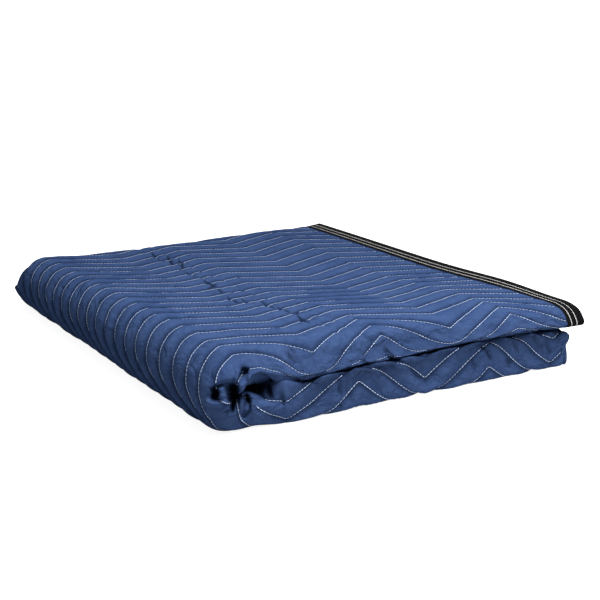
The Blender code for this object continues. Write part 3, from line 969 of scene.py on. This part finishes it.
def make_tape(name, lines, along_s, near):
    """A length of tape folded over one edge of the sheet."""
    leg = EDGE_PLY / 2 + CLEAR
    back = leg + TAPE_PLY
    corners = [(TAPE, back - EASE_DOWN), (TAPE - EASE_IN, back), (BEND, back), (0.0, back - BEND)]
    corners += [(reach, -depth) for reach, depth in reversed(corners)]
    corners += [(TAPE, -leg), (TAPE_PLY, -leg), (TAPE_PLY, leg), (TAPE, leg)]
    steps, around = len(lines) - 1, len(corners)
    bm = bmesh.new()
    bmesh.ops.create_grid(bm, x_segments=steps, y_segments=around, size=0.5)
    for vert in bm.verts:
        corner = round((vert.co.y + 0.5) * around) % around
        reach, depth = corners[corner]
        vert.co = (reach, lines[round((vert.co.x + 0.5) * steps)], depth)
    bmesh.ops.remove_doubles(bm, verts=bm.verts[:], dist=SAME)
    ends = [edge for edge in bm.edges if edge.is_boundary]
    bmesh.ops.holes_fill(bm, edges=ends, sides=0)
    reach, run, depth = np.array([vert.co[:] for vert in bm.verts]).T
    notch = np.where(reach < BEND / 2, FRAY * noise(run, 0 * run, RIB, 1.0, seed=21), 0.0)
    tape_uv = bm.loops.layers.uv.new("tape")
    bm.verts.index_update()
    side = np.sign(depth) * TAPE
    for face in bm.faces:
        for loop in face.loops:
            index = loop.vert.index
            loop[tape_uv].uv = (run[index], reach[index] + (side[index] if side[index] < 0 else 0.0))
    far = LENGTH if not along_s else WIDTH
    place = reach + notch if near else far - reach - notch
    s, t = (run, place) if along_s else (place, run)
    points = on_pad(s, t, depth)
    for vert, point in zip(bm.verts, points):
        vert.co = point
    return shaped(bm, name)


across = tape_lines(0.0, WIDTH, FRONT_END - SHOWN_MORE, BACK_END + SHOWN_MORE, RIB, TAPE_STEP)
start = TAPE + CLEAR
along = tape_lines(start, LENGTH - start, SIDE_END, LENGTH - SIDE_END, TAPE_STEP, END_STEP)
# where each tape is, whether it runs along the sheet, and whether at the near edge
EDGES = (
    ("end", "outer", False, True),
    ("end", "inner", False, False),
    ("side", "inner", True, True),
    ("side", "outer", True, False),
)
tapes = {}
for kind, place, along_s, near in EDGES:
    piece = make_tape(f"{kind}_binding_{place}", along if along_s else across, along_s, near)
    tapes[f"{kind}_tape_{place}"] = piece
    print(piece.name, len(piece.data.polygons), "faces")


# %% Sew the tapes
BINDING_ROWS = (0.0197, 0.0118)         # two rows of thread, from the edge
BINDING_STITCH = 0.0050
BINDING_DASH = 0.0057   # the thick stitches run into one another
BINDING_THREAD = 0.00048
END_START, SIDE_START = 0.004, start + 0.003    # where the rows of thread begin


def binding_stitches(first, last, along_s, near):
    """Two rows of thick thread along a tape, on its outer face."""
    starts = np.arange(first, last - BINDING_STITCH, BINDING_STITCH)
    lift = EDGE_PLY / 2 + CLEAR + TAPE_PLY
    for reach in BINDING_ROWS:
        place = np.full(len(starts), reach if near else (WIDTH if along_s else LENGTH) - reach)
        low, high, over = (
            on_pad(*((run, place) if along_s else (place, run)), lift + height)
            for run, height in ((starts, 0.0), (starts + BINDING_DASH, 0.0), (starts, PROBE))
        )
        yield low, high, over - low


rows_of_thread = []
for kind, place, along_s, near in EDGES:
    span = (SIDE_START, LENGTH - start) if along_s else (END_START, WIDTH - END_START)
    rows_of_thread += binding_stitches(*span, along_s, near)
binding_thread = dashes("binding_thread", rows_of_thread, BINDING_THREAD)

# %% [markdown]
# ## Materials
#
# The cloth is a matt navy polyester weave. Its colour varies with the weave,
# painted light makes the crowns a little paler than the valleys, painted
# shade darkens the cloth beside each seam, and bump adds what is too fine for
# the mesh: soft dents all over, thin wrinkles that run out from each seam,
# and the weave itself. The creases on the top get a sharp line of painted
# shade each, finer than the mesh's columns. Image textures could do all this,
# but a procedural pattern stays sharp at any distance. It reads the sheet's
# own UV map, in metres, so it follows the cloth round the folds.

# %% Node helpers
def fill(tree, node, values):
    """Give a node's inputs a value each, or link a socket to them."""
    for key, value in values.items():
        if isinstance(value, bpy.types.NodeSocket):
            tree.links.new(value, node.inputs[key])
        else:
            node.inputs[key].default_value = value


def add_node(tree, kind, values=(), **settings):
    """A node with its settings, and its inputs filled by name or number."""
    node = tree.nodes.new(kind)
    for key, value in settings.items():
        setattr(node, key, value)
    fill(tree, node, dict(values))
    return node


def math_node(tree, operation, first, *second):
    """A Math node fed with sockets or numbers; returns its output."""
    values = dict(enumerate((first, *second)))
    return add_node(tree, "ShaderNodeMath", values, operation=operation).outputs[0]


def ramp_node(tree, value, stops):
    """A colour ramp through stops of place and colour; returns its output."""
    node = add_node(tree, "ShaderNodeValToRGB", {"Fac": value})
    elements = node.color_ramp.elements
    for element, (place, colour) in zip(elements, (stops[0], stops[-1])):
        element.position = place
        element.color = (*colour, 1.0)
    for place, colour in stops[1:-1]:
        elements.new(place).color = (*colour, 1.0)
    return node.outputs["Color"]


def new_material(name):
    """A node material, its tree and its Principled shader."""
    made = bpy.data.materials.new(name)
    made.use_nodes = True
    print("material", name)
    return made, made.node_tree, made.node_tree.nodes["Principled BSDF"]


def new_group(name, inputs, outputs):
    """A node group with sockets of the kinds given; returns its two ends too."""
    group = bpy.data.node_groups.new(name, "ShaderNodeTree")
    for in_out, sockets in (("INPUT", inputs), ("OUTPUT", outputs)):
        for socket, kind in sockets.items():
            group.interface.new_socket(socket, in_out=in_out, socket_type="NodeSocket" + kind)
    source = group.nodes.new("NodeGroupInput").outputs
    return group, source, group.nodes.new("NodeGroupOutput")


# %% A weave group, shared by cloth and tape
def weave_group():
    """Threads that cross: gives a height and a shade from a UV in metres."""
    inputs = {"Vector": "Vector", "Warp": "Float", "Weft": "Float", "Fuzz": "Float"}
    group, source, result = new_group("woven_threads", inputs, {"Height": "Float", "Shade": "Float"})
    split = add_node(group, "ShaderNodeSeparateXYZ", {0: source["Vector"]})
    waves = []
    for axis, spacing in (("X", "Warp"), ("Y", "Weft")):
        turns = math_node(group, "DIVIDE", split.outputs[axis], source[spacing])
        turns = math_node(group, "MULTIPLY", turns, 2 * math.pi)
        waves.append(math_node(group, "SINE", turns))
    cross = math_node(group, "MULTIPLY", *waves)
    fibres = {"Vector": source["Vector"], "Scale": 900.0, "Detail": 3.0}
    fuzz = add_node(group, "ShaderNodeTexNoise", fibres).outputs["Fac"]
    rough = math_node(group, "MULTIPLY", math_node(group, "SUBTRACT", fuzz, 0.5), source["Fuzz"])
    height = math_node(group, "ADD", math_node(group, "MULTIPLY", cross, 0.5), rough)
    patches = {"Vector": source["Vector"], "Scale": 140.0, "Detail": 6.0, "Roughness": 0.7}
    shade = add_node(group, "ShaderNodeTexNoise", patches).outputs["Fac"]
    fill(group, result, {"Height": height, "Shade": shade})
    return group


woven = weave_group()
print("the weave group has", len(woven.nodes), "nodes")


# %% A stroke group for sharp creases
STROKE_END = 0.15       # a stroke's width at its ends, as a share of the middle's


def stroke_group():
    """How near a point is to a line from A to B: 1 on it, 0 off its width."""
    inputs = {"Vector": "Vector", "A": "Vector", "B": "Vector", "Width": "Float"}
    group, source, result = new_group("sharp_stroke", inputs, {"Mask": "Float"})

    def vector(operation, first, second, output="Vector"):
        values = {0: first, "Scale" if operation == "SCALE" else 1: second}
        return add_node(group, "ShaderNodeVectorMath", values, operation=operation).outputs[output]

    away = vector("SUBTRACT", source["Vector"], source["A"])
    run = vector("SUBTRACT", source["B"], source["A"])
    along = vector("DOT_PRODUCT", away, run, "Value")
    share = math_node(group, "DIVIDE", along, vector("DOT_PRODUCT", run, run, "Value"))
    share = math_node(group, "MINIMUM", math_node(group, "MAXIMUM", share, 0.0), 1.0)
    gap = vector("DISTANCE", away, vector("SCALE", run, share), "Value")
    rest = math_node(group, "SUBTRACT", 1.0, share)
    taper = math_node(group, "MULTIPLY", math_node(group, "MULTIPLY", share, rest), 4.0)
    width = math_node(group, "MULTIPLY", source["Width"], math_node(group, "ADD", taper, STROKE_END))
    near = math_node(group, "SUBTRACT", 1.0, math_node(group, "DIVIDE", gap, width))
    fill(group, result, {"Mask": math_node(group, "MAXIMUM", near, 0.0)})
    return group


stroke = stroke_group()
print("the stroke group has", len(stroke.nodes), "nodes")


# %% Lines of painted shade in the creases
CREASE_LINE = 0.0026    # half width of the sharp line of painted shade in a crease
RUN_ON = 0.35           # share of a trough's length that its line runs on past each end
TOP_ALONE = 0.052       # the lines are drawn above this height


def crease_shade_mask(tree):
    """Painted shade: 1 along the middle of each crease on the top, 0 elsewhere."""
    place = add_node(tree, "ShaderNodeTexCoord").outputs["Object"]
    split = add_node(tree, "ShaderNodeSeparateXYZ", {0: place})
    flat = add_node(tree, "ShaderNodeCombineXYZ", {axis: split.outputs[axis] for axis in "XY"})
    mask = 0.0
    for width, depth, line in CREASES:
        start, end = (np.array(place) / 1000 - MIDDLE[:2] for place in line)
        more = RUN_ON * (end - start)
        values = {"A": (*(start - more), 0.0), "B": (*(end + more), 0.0), "Width": CREASE_LINE}
        node = add_node(tree, "ShaderNodeGroup", {"Vector": flat.outputs[0], **values}, node_tree=stroke)
        mask = math_node(tree, "MAXIMUM", mask, node.outputs["Mask"])
    top = math_node(tree, "GREATER_THAN", split.outputs["Z"], TOP_ALONE)
    return math_node(tree, "MULTIPLY", mask, top)


# %% Cloth
NAVY = ((0.36, (0.022, 0.043, 0.114)), (0.76, (0.048, 0.084, 0.194)))
CLOTH_THREADS = 0.0011  # from one thread of the weave to the next
THREAD_SHARE, MOTTLE_SHARE, CROWN_PAINTED_LIGHT = 0.55, 0.45, 0.22      # what makes the colour vary, the last being painted light on the crowns
SEAM_SHADE_GREYS = ((0.42, 1.0), (0.49, 0.55), (0.56, 0.50), (0.74, 1.0))   # painted shade across a seam, wider on one side
DEEPEST = 0.06          # share of its colour that the cloth keeps under the darkest painted shade
CREASE_DARK = 0.70      # share that it loses to painted shade on a crease's line


def cloth_colour(tree, sheet, from_seam, across_seam, threads):
    """Mottled navy, with painted light on the crowns and painted shade in the grooves, hollows and creases.
    """
    spots = {"Vector": sheet, "Scale": 22.0, "Detail": 5.0, "Roughness": 0.65}
    mottle = add_node(tree, "ShaderNodeTexNoise", spots).outputs["Fac"]
    mix = math_node(tree, "MULTIPLY", threads.outputs["Shade"], THREAD_SHARE)
    mix = math_node(tree, "ADD", mix, math_node(tree, "MULTIPLY", mottle, MOTTLE_SHARE))
    # painted light: the crowns are paler than the valleys
    mix = math_node(tree, "ADD", mix, math_node(tree, "MULTIPLY", from_seam, CROWN_PAINTED_LIGHT))
    navy = ramp_node(tree, mix, NAVY)
    # painted shade in the groove beside each seam, wider on one side
    seam_shade = ramp_node(tree, across_seam, [(place, (grey,) * 3) for place, grey in SEAM_SHADE_GREYS])
    # painted shade kept on the mesh: slit, lips, holes, creases and foot
    shade_amount = add_node(tree, "ShaderNodeAttribute", attribute_name="painted_shade").outputs["Fac"]
    light = add_node(tree, "ShaderNodeMapRange", {"Value": shade_amount, "To Min": 1.0, "To Max": DEEPEST})
    kept = math_node(tree, "MULTIPLY", seam_shade, light.outputs["Result"])
    # painted shade along the creases on the top
    lost = math_node(tree, "MULTIPLY", crease_shade_mask(tree), CREASE_DARK)
    kept = math_node(tree, "MULTIPLY", kept, math_node(tree, "SUBTRACT", 1.0, lost))
    shaded = add_node(tree, "ShaderNodeVectorMath", {0: navy, "Scale": kept}, operation="SCALE")
    return shaded.outputs["Vector"]


def cloth_bump(tree, sheet, quilt, from_seam, threads):
    """Soft dents, then wrinkles that run out from the seams, then the weave."""
    dented = {"Vector": sheet, "Scale": 38.0, "Detail": 3.0, "Roughness": 0.55, "Distortion": 0.7}
    dents = add_node(tree, "ShaderNodeTexNoise", dented).outputs["Fac"]
    drawn = add_node(tree, "ShaderNodeMapping", {"Vector": quilt, "Scale": (170.0, 2.2, 1.0)})
    thin = {"Vector": drawn.outputs["Vector"], "Scale": 1.0, "Detail": 2.0, "Distortion": 0.4}
    lines = add_node(tree, "ShaderNodeTexNoise", thin).outputs["Fac"]
    reach = {"Value": from_seam, "From Min": 0.0, "From Max": 0.34, "To Min": 1.0, "To Max": 0.25}
    fade = add_node(tree, "ShaderNodeMapRange", reach).outputs["Result"]
    wrinkles = math_node(tree, "MULTIPLY", lines, fade)
    normal = None
    for height, strength, distance in (
        (dents, 0.90, 0.0090),
        (wrinkles, 0.80, 0.0011),
        (threads.outputs["Height"], 0.35, 0.0002),
    ):
        values = {"Height": height, "Strength": strength, "Distance": distance}
        if normal is not None:
            values["Normal"] = normal
        normal = add_node(tree, "ShaderNodeBump", values).outputs["Normal"]
    return normal


def cloth_material():
    """Navy quilted cloth."""
    made, tree, shader = new_material("quilted_cloth")
    sheet = add_node(tree, "ShaderNodeUVMap", uv_map="sheet").outputs["UV"]
    quilt = add_node(tree, "ShaderNodeUVMap", uv_map="quilt").outputs["UV"]
    weave = {"Vector": sheet, "Warp": CLOTH_THREADS, "Weft": CLOTH_THREADS, "Fuzz": 0.4}
    threads = add_node(tree, "ShaderNodeGroup", weave, node_tree=woven)
    # Half a row on, the fraction is 0.5 on a seam, and 0 or 1 on a crown
    row = add_node(tree, "ShaderNodeSeparateXYZ", {0: quilt}).outputs["Y"]
    across_seam = math_node(tree, "FRACT", math_node(tree, "ADD", row, 0.5))
    from_seam = math_node(tree, "ABSOLUTE", math_node(tree, "SUBTRACT", across_seam, 0.5))
    colour = cloth_colour(tree, sheet, from_seam, across_seam, threads)
    bump = cloth_bump(tree, sheet, quilt, from_seam, threads)
    matt = {"Roughness": 0.85, "Specular IOR Level": 0.0}
    fill(tree, shader, {"Base Color": colour, "Normal": bump, **matt})
    return made


# %% Tape and thread
def tape_material():
    """Black ribbed webbing."""
    made, tree, shader = new_material("woven_tape")
    uv = add_node(tree, "ShaderNodeUVMap", uv_map="tape").outputs["UV"]
    weave = {"Vector": uv, "Warp": RIB, "Weft": 0.0045, "Fuzz": 0.9}
    threads = add_node(tree, "ShaderNodeGroup", weave, node_tree=woven)
    lift = math_node(tree, "MULTIPLY", threads.outputs["Height"], 0.5)
    blacks = ((0.0, (0.002, 0.002, 0.0025)), (1.0, (0.012, 0.012, 0.013)))
    colour = ramp_node(tree, math_node(tree, "ADD", lift, 0.45), blacks)
    dull = {"Value": threads.outputs["Shade"], "To Min": 0.45, "To Max": 0.75}
    rough = add_node(tree, "ShaderNodeMapRange", dull).outputs["Result"]
    ribs = {"Height": threads.outputs["Height"], "Strength": 0.8, "Distance": 0.0004}
    bump = add_node(tree, "ShaderNodeBump", ribs).outputs["Normal"]
    fill(tree, shader, {"Base Color": colour, "Roughness": rough, "Normal": bump, "Specular IOR Level": 0.01})
    return made


def thread_material(name, dark, light):
    """Twisted polyester thread."""
    made, tree, shader = new_material(name)
    place = add_node(tree, "ShaderNodeTexCoord").outputs["Object"]
    twist = add_node(tree, "ShaderNodeTexNoise", {"Vector": place, "Scale": 600.0, "Detail": 2.0})
    colour = ramp_node(tree, twist.outputs["Fac"], ((0.0, dark), (1.0, light)))
    fill(tree, shader, {"Base Color": colour, "Roughness": 0.7, "Specular IOR Level": 0.05})
    return made


navy = cloth_material()
webbing = tape_material()
white_thread = thread_material("white_thread", (0.46, 0.58, 0.92), (0.72, 0.84, 1.0))
cream_thread = thread_material("cream_thread", (0.72, 0.70, 0.66), (1.0, 0.99, 0.96))
blanket_cloth.data.materials.append(navy)
quilting_thread.data.materials.append(white_thread)
binding_thread.data.materials.append(cream_thread)
for piece in tapes.values():
    piece.data.materials.append(webbing)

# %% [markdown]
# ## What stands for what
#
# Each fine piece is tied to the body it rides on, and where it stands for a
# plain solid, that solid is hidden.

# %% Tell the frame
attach(blanket_cloth, "root")
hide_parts("quilted_sheet")
for node, piece in tapes.items():
    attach(piece, "root")
    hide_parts(node)
for piece in (quilting_thread, binding_thread):
    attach(piece, "root")
print(len(tapes) + 3, "pieces ride on the root")

# %% [markdown]
# ## Floor, light and camera
#
# The pad lies on a plain pale floor. One large soft lamp, above and a little
# in front, keeps the top bright and leaves the round left side in shade, and
# bright surroundings fill in the rest. A lamp that is big and near gives
# shadows soft edges, as a studio's does. The floor glows a little for the
# camera alone, so that it looks white and throws no extra light on the pad.

# %% Floor
FLOOR_SIZE = 60.0       # half of its side
FLOOR_GREY = 0.70
FLOOR_GLOW = 0.90

floor = bmesh.new()
bmesh.ops.create_grid(floor, x_segments=1, y_segments=1, size=FLOOR_SIZE)
floor_mesh = bpy.data.meshes.new("floor")
floor.to_mesh(floor_mesh)
floor.free()
floor_piece = bpy.data.objects.new("floor", floor_mesh)
scene.collection.objects.link(floor_piece)
pale, pale_tree, pale_shader = new_material("pale_floor")
rays = add_node(pale_tree, "ShaderNodeLightPath").outputs["Is Camera Ray"]
glow = math_node(pale_tree, "MULTIPLY", rays, FLOOR_GLOW)
fill(pale_tree, pale_shader, {"Base Color": (FLOOR_GREY, FLOOR_GREY, FLOOR_GREY, 1.0), "Roughness": 0.9})
fill(pale_tree, pale_shader, {"Emission Color": (1.0, 1.0, 1.0, 1.0), "Emission Strength": glow})
floor_mesh.materials.append(pale)
floor_piece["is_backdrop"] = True

# %% Lamp and surroundings
LAMP_AT = Vector((0.06, -0.54, 1.18))
LAMP_AIM = Vector((0.0, -0.10, 0.0))
LAMP_SIDE = 0.5
LAMP_POWER = 26.5
SURROUNDINGS = 0.24     # how bright they are

lamp_data = bpy.data.lights.new("overhead", "AREA")
lamp_data.size = LAMP_SIDE
lamp_data.energy = LAMP_POWER
lamp = bpy.data.objects.new("overhead", lamp_data)
lamp.location = LAMP_AT
lamp.rotation_euler = (LAMP_AIM - LAMP_AT).to_track_quat("-Z", "Y").to_euler()
scene.collection.objects.link(lamp)
world = bpy.data.worlds.new("studio")
world.use_nodes = True
background = world.node_tree.nodes["Background"]
fill(world.node_tree, background, {"Color": (1.0, 1.0, 1.0, 1.0), "Strength": SURROUNDINGS})
scene.world = world
scene.view_settings.view_transform = "Standard"
print("lamp", round((LAMP_AIM - LAMP_AT).length, 2), "m from the pad")

# %% Camera
FROM = Vector((-0.7481, -1.3416, 0.4415))
TOWARD = Vector((0.4916, 0.8332, -0.2533))
SENSOR, LENS = 36.0, 73.6               # both in millimetres

camera_data = bpy.data.cameras.new("camera")
camera_data.sensor_width = SENSOR
camera_data.lens = LENS
camera = bpy.data.objects.new("camera", camera_data)
camera.location = FROM
camera.rotation_euler = TOWARD.to_track_quat("-Z", "Y").to_euler()
scene.collection.objects.link(camera)
scene.camera = camera
print("camera", round(FROM.length, 2), "m from the pad's middle")

# %% Sizes and finish
plain_boxes = [[[float(v) for v in corner] for corner in box] for box in (cad_box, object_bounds())]
print("CAD box", plain_boxes[0], "dressed box", plain_boxes[1])
